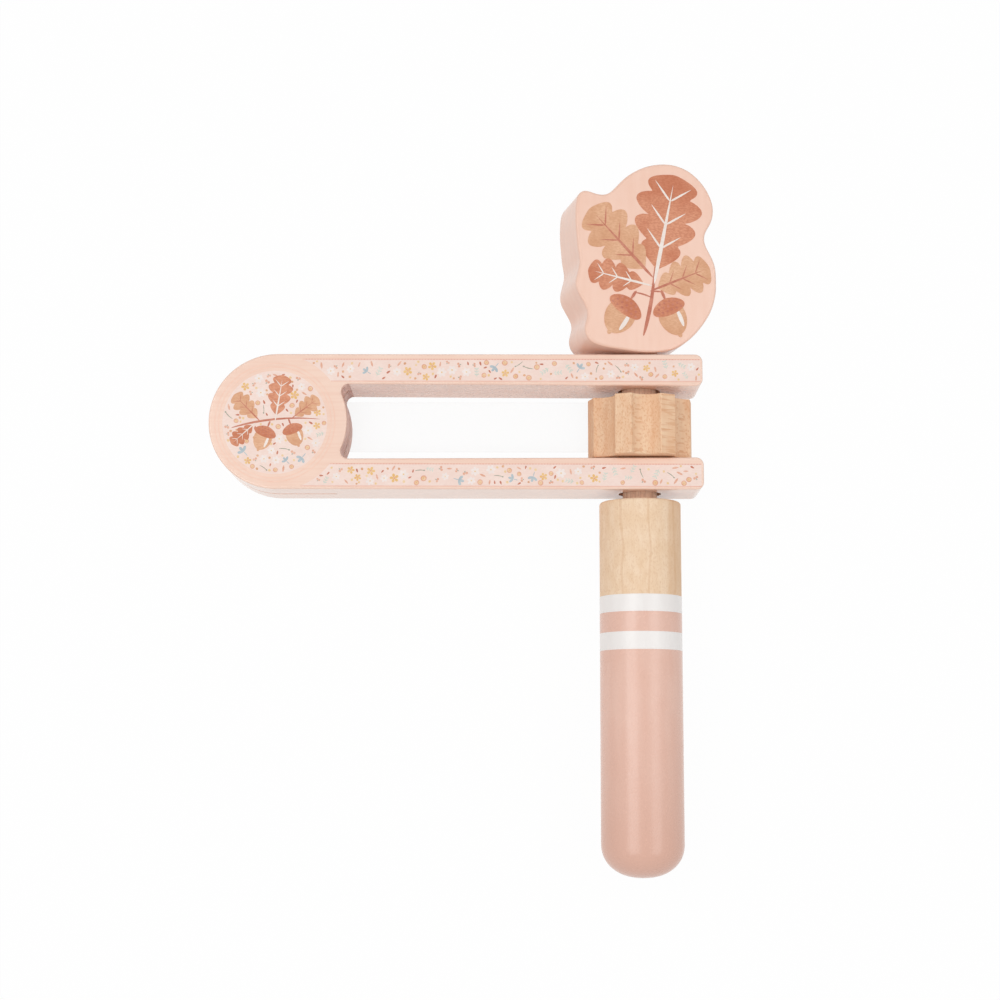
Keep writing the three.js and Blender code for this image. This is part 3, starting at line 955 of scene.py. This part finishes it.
# The frame's print, in millimetres: a strip of small flowers on each arm, and a disc with an oak twig on the
# round end
framePrint = {
    "slip": (-0.6, -0.4),  # the print sits a little off the board's middle
    "discRadius": 15.3,
    "stripStart": 20.3,
    "hollowShare": 0.9,  # of that, where the strip begins on average
    "stripHeight": 6.5,
    "stripFromEdge": 0.75,
    "lineWidth": 0.24,
    "dashPitch": 0.85,
    "dashLength": 0.5,
    "rings": [(16.4, 0.24), (17.5, 0.24)],
    "roundSteps": 128,
    "endSteps": 16,
    "stripMargin": 0.2,
    "discMargin": 0.15,
    "freeShare": 0.85,  # of the disc, that the twig leaves to the flowers
    "stripSeed": 11,
    "discSeed": 5,
    "stems": [  # x, y, length, width, turn, layer, steps, sharp, taper and bend
        (0.2, -0.4, 26.0, 0.6, 0.1, 1.5, 24, 0, -0.4, 0.1),
    ],
    "leaves": [  # x and y of the stalk's end, length, width, turn, ink, veins' ink and layer
        (-4.6, 0.6, 10.6, 6.0, 2.35, "tan", "brick", 2),
        (0.2, 1.1, 13.0, 7.2, 1.42, "russet", "cream", 2),
        (5.2, 1.4, 9.4, 5.4, 0.66, "tan", "brick", 2),
        (-6.0, -0.5, 8.8, 4.8, -2.4, "russet", "cream", 2),
    ],
    "acorns": [(-1.4, 0.2, 9.0, -1.95, 2), (4.0, 0.9, 8.4, -1.2, 2)],  # x, y, length, turn and layer
    "taken": [  # x, y and radius of the circles that the twig fills, where no flower goes
        (-7.6, 3.6, 2.3), (-5.6, 1.6, 1.6), (-10.0, 6.0, 2.6), (1.0, 6.6, 3.1), (1.6, 10.8, 2.7),
        (0.6, 2.8, 1.9), (8.4, 4.0, 2.3), (11.2, 6.1, 2.1), (6.6, 2.4, 1.4), (-8.4, -2.8, 1.9),
        (-10.8, -4.9, 1.9), (-2.8, -3.6, 2.8), (-4.2, -7.2, 2.2), (5.2, -2.8, 2.7), (6.4, -6.0, 2.1),
        *[(x, 0.9 + 0.1 * x - x * x / 130, 0.5) for x in range(-12, 14)],
    ],
}


def printStrip(job, side):
    centre = side * (frameHalf - frameShape["armHeight"] / 2) / mm
    right = (frameHigh.x - roundCentre.x) / mm - framePrint["slip"][0] - framePrint["stripFromEdge"]
    start, tall = framePrint["stripStart"], framePrint["stripHeight"]
    low, high = centre - tall / 2, centre + tall / 2
    turnLow, turnHigh = math.asin(low / start), math.asin(high / start)
    pen = OutlinePen(start * math.cos(turnLow), low)
    pen.line(right, low)
    pen.line(right, high)
    pen.line(start * math.cos(turnHigh), high)
    pen.arc(0, 0, turnLow - turnHigh, framePrint["endSteps"])
    strip = bpy.data.meshes.new("strip")
    pen.close().to_mesh(strip)
    job.sheet("panel").from_mesh(strip)
    bpy.data.meshes.remove(strip)

    pitch, wide = framePrint["dashPitch"], framePrint["lineWidth"]
    for edge in (low, high):  # a pale line runs along each side, and the upper one is stitched with dashes
        left = start * math.cos(math.asin(edge / start))
        place = Matrix.Translation(((left + right) / 2, edge, printing["layer"] / mm))
        bmesh.ops.create_grid(job.sheet("line"), x_segments=1, y_segments=1, size=0.5,
                              matrix=place @ Matrix.Diagonal((right - left, wide, 1, 1)))
    for k in range(int((right - start * math.cos(turnHigh)) / pitch)):
        job.blot("dash", right - (k + 0.5) * pitch, high, framePrint["dashLength"], wide, layer=3, steps=6)

    def inStrip(x, y, reach):
        ink, margin = scatter["inkShare"] * reach, framePrint["stripMargin"]
        inHeight = low + margin < y - ink and y + ink < high - margin
        return inHeight and math.hypot(x, y) > start + scatter["roomShare"] * reach and x < right - ink

    area = (right - start * framePrint["hollowShare"]) * tall
    strew(job, inStrip, (start / 2, right, low, high), area, framePrint["stripSeed"] + side)


def printFrame():
    job = PrintJob()
    radius, steps = framePrint["discRadius"], framePrint["roundSteps"]
    bmesh.ops.create_circle(job.sheet("panel"), cap_ends=True, segments=steps, radius=radius)
    printStrip(job, -1)
    printStrip(job, 1)
    rings = job.sheet("ring")
    for ringRadius, width in framePrint["rings"]:
        bmesh.ops.create_circle(rings, segments=steps, radius=ringRadius + width / 2)
        bmesh.ops.create_circle(rings, segments=steps, radius=ringRadius - width / 2)
        bmesh.ops.bridge_loops(rings, edges=[e for e in rings.edges if not e.link_faces])
    oakTwig(job, framePrint)

    def inDisc(x, y, reach):
        return math.hypot(x, y) < radius - scatter["inkShare"] * reach - framePrint["discMargin"]

    area = math.pi * radius ** 2 * framePrint["freeShare"]
    strew(job, inDisc, (-radius, radius, -radius, radius), area, framePrint["discSeed"],
          framePrint["taken"])
    slipX, slipY = framePrint["slip"]
    place = Matrix.Translation((roundCentre.x + slipX * mm, middleY + slipY * mm, frameHigh.z))
    job.press("frame_print", place, "spinner")


printFrame()
print("frame printed")


# The head block's print, in millimetres from the axle's line: an oak twig with four leaves and two acorns,
# listed as on the frame
headPrint = {
    "stems": [
        (0.4, 15.5, 22.0, 1.1, 1.4, 1.2, 24, 0, -0.35, -0.06),
        (-1.4, 17.0, 5.6, 0.5, 2.9, 1.5, 16, 0, 0, -0.1),
        (2.8, 18.2, 3.6, 0.5, 0.0, 1.6, 16, 0, 0, 0.1),
    ],
    "leaves": [
        (2.4, 22.6, 32.2, 20.5, 1.37, "russet", "cream", 2),
        (0.6, 23.6, 26.0, 15.5, 2.34, "tan", "brick", 4),
        (1.8, 18.8, 19.0, 12.0, 0.42, "tan", "brick", 5),
        (0.2, 20.2, 18.6, 9.6, 2.95, "russet", "cream", 8),
    ],
    "acorns": [(-3.6, 18.0, 15.0, -2.15, 11), (4.2, 18.6, 14.2, -1.16, 12)],
}


def printHead():
    job = PrintJob()
    oakTwig(job, headPrint)
    foot = frameHigh.y + headShape["printGap"]
    place = headTurned @ Matrix.Translation((0, foot, headShape["thickness"] / 2))
    job.press("head_print", place, "rotor")


printHead()
print("head printed")


# Studio: camera, soft boxes, white floor

studio = {
    "cameraPlace": (0.01243, -0.07492, 0.56055),
    "cameraTilt": math.radians(8.298),
    "cameraYaw": math.radians(0.204),
    "cameraRoll": math.radians(0.088),
    "lens": 67.29,
    "sensorWidth": 36,
    "clipStart": 0.01,
    "floorHalf": 4.0,
    "skyStrength": 0.53,
    "whiteShare": 0.97,  # of the card's look, that is plain white to the eye; the rest shows its shadow
    "boxDistance": 1.3,
    "boxAlong": -0.15,  # towards the handle
    "boxes": [  # how far each soft box leans over, its width and length, and its watts
        {"lean": math.radians(-29), "size": (0.72, 1.4), "power": 6.7},
        {"lean": math.radians(36), "size": (0.6, 1.4), "power": 4.1},
    ],
}


# 1 for the rays that look at the white backdrop, and 0 for those that carry light to the toy
def lookingRays(tree):
    path = addNode(tree, "ShaderNodeLightPath", {}).outputs
    mirrored = addNode(tree, "ShaderNodeMath", {
        0: path["Is Glossy Ray"], 1: path["Is Transmission Ray"],
    }, operation="MAXIMUM")
    return addNode(tree, "ShaderNodeMath", {0: path["Is Camera Ray"], 1: mirrored}, operation="MAXIMUM")


def makeStudio():
    camera = bpy.data.objects.new("camera", bpy.data.cameras.new("camera"))
    camera.data.lens = studio["lens"]
    camera.data.sensor_width = studio["sensorWidth"]
    camera.data.clip_start = studio["clipStart"]
    turn = Euler((studio["cameraTilt"], studio["cameraYaw"], studio["cameraRoll"]), "ZYX")
    camera.matrix_world = Matrix.Translation(studio["cameraPlace"]) @ turn.to_matrix().to_4x4()
    bpy.context.scene.collection.objects.link(camera)
    bpy.context.scene.camera = camera

    aim = Vector((axleX / 2, 0, axleZ))
    for each in studio["boxes"]:
        box = bpy.data.lights.new("softBox", "AREA")
        box.shape = "RECTANGLE"
        box.size, box.size_y = each["size"]
        box.energy = each["power"]
        lamp = bpy.data.objects.new("softBox", box)
        lean = Matrix.Rotation(each["lean"], 4, "Y")
        place = Matrix.Translation((0, studio["boxAlong"], studio["boxDistance"]))
        lamp.matrix_world = Matrix.Translation(aim) @ lean @ place
        bpy.context.scene.collection.objects.link(lamp)

    # Matt white card: no gloss at all, a faint soft shadow, and plain white behind the toy
    bm = bmesh.new()
    bmesh.ops.create_grid(bm, x_segments=1, y_segments=1, size=studio["floorHalf"])
    card, tree, surface = newMaterial("matteWhiteCard", {
        "Base Color": hexColour("#ebebeb"), "Roughness": 0.9,
    })
    share = addNode(tree, "ShaderNodeMath", {
        0: lookingRays(tree), 1: studio["whiteShare"],
    }, operation="MULTIPLY")
    glow = addNode(tree, "ShaderNodeEmission", {"Color": (1, 1, 1, 1), "Strength": 1})
    shown = addNode(tree, "ShaderNodeMixShader", {0: share, 1: surface, 2: glow})
    feed(tree, tree.nodes["Material Output"], {"Surface": shown})
    meshObject("floor", bm, [card])

    world = bpy.data.worlds.new("studio")
    bpy.context.scene.world = world
    world.use_nodes = True
    tree = world.node_tree
    strength = addNode(tree, "ShaderNodeMapRange", {
        "Value": lookingRays(tree), "To Min": studio["skyStrength"], "To Max": 1,
    })
    feed(tree, tree.nodes["Background"], {"Color": (1, 1, 1, 1), "Strength": strength})

    bpy.context.scene.view_settings.view_transform = "Standard"


makeStudio()
print("studio made")
